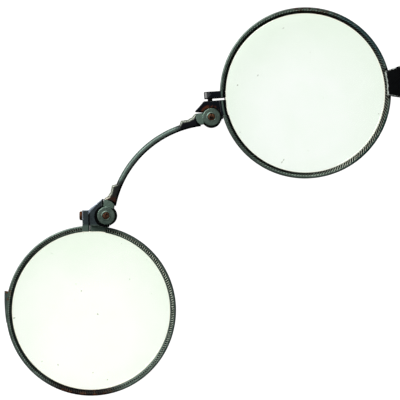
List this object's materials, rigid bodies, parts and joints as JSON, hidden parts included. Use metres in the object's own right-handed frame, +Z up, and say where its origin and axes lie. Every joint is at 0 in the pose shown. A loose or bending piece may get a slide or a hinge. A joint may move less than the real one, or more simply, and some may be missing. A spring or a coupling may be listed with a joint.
{
  "type": "spring-folding lorgnette",
  "caption": "Folding reading glasses on a handle: two round lenses in split steel rims, joined by an arched bridge between sprung hinge drums, with a release slide in the handle.",
  "frame": {"origin": "middle of the open object's footprint, on the surface it lies on", "axes": "+X runs from the left lens to the far end of the handle side, along the line of the two hinges; +Y is the side of the bridge's arch; +Z is up, along the lens axes, towards the front of the handle"},
  "size_m": [0.1706, 0.0828, 0.0058],
  "materials": {
    "blued_steel": "dark grey-green oxidised steel, edges worn, a little rust",
    "rusty_steel": "rusted dark steel",
    "bright_steel": "worn bare steel",
    "spring_steel": "blued spring steel",
    "lens_glass": "clear polished glass, faint green tint",
    "black_lacquer": "polished black lacquer"
  },
  "bodies": {
    "handle_and_right_lens": {"right_rim": "blued_steel", "right_lens": "lens_glass", "right_closing_block": "blued_steel", "right_closing_screw": "rusty_steel", "right_hinge_bracket": "blued_steel", "right_hinge_cap": "blued_steel", "right_hinge_screw": "rusty_steel", "handle_front_shell": "black_lacquer", "handle_back_shell": "black_lacquer", "handle_tang": "bright_steel", "handle_screws": "rusty_steel", "spring_seat": "bright_steel", "bail_eye": "bright_steel"},
    "bridge": {"bridge_arm": "blued_steel", "left_spring_drum": "blued_steel", "right_spring_drum": "blued_steel", "left_hinge_spring": "spring_steel", "right_hinge_spring": "spring_steel"},
    "left_lens_group": {"left_rim": "blued_steel", "left_lens": "lens_glass", "left_closing_block": "blued_steel", "left_closing_screw": "rusty_steel", "left_hinge_bracket": "blued_steel", "left_hinge_cap": "blued_steel", "left_hinge_screw": "rusty_steel", "catch_tooth": "rusty_steel"},
    "release": {"release_slide": "bright_steel", "release_button": "bright_steel", "button_rivet": "bright_steel", "release_spring": "spring_steel"},
    "neck_ring": {"bail_ring": "bright_steel"}
  },
  "joints": [
    {"name": "bridge_fold", "type": "hinge", "parent": "handle_and_right_lens", "child": "bridge", "pos_m": [-0.01805, 0.03286, 0.0022], "axis": [0, 0, 1], "range_deg": [0, 107.8], "stiffness_Nm_per_rad": 0.003, "springref_deg": -28.65},
    {"name": "left_lens_fold", "type": "hinge", "parent": "bridge", "child": "left_lens_group", "pos_m": [-0.04967, 0.03286, 0.0022], "axis": [0, 0, 1], "range_deg": [0, 99.1], "stiffness_Nm_per_rad": 0.003, "springref_deg": -28.65},
    {"name": "release_travel", "type": "slide", "parent": "handle_and_right_lens", "child": "release", "axis": [0.8022, -0.5971, 0], "range_m": [0, 0.001], "stiffness_N_per_m": 400, "springref_m": -0.002},
    {"name": "neck_ring_swing", "type": "hinge", "parent": "handle_and_right_lens", "child": "neck_ring", "pos_m": [0.07889, -0.03561, 0.0025], "axis": [-0.5971, -0.8022, 0], "range_deg": [0, 100]}
  ]
}
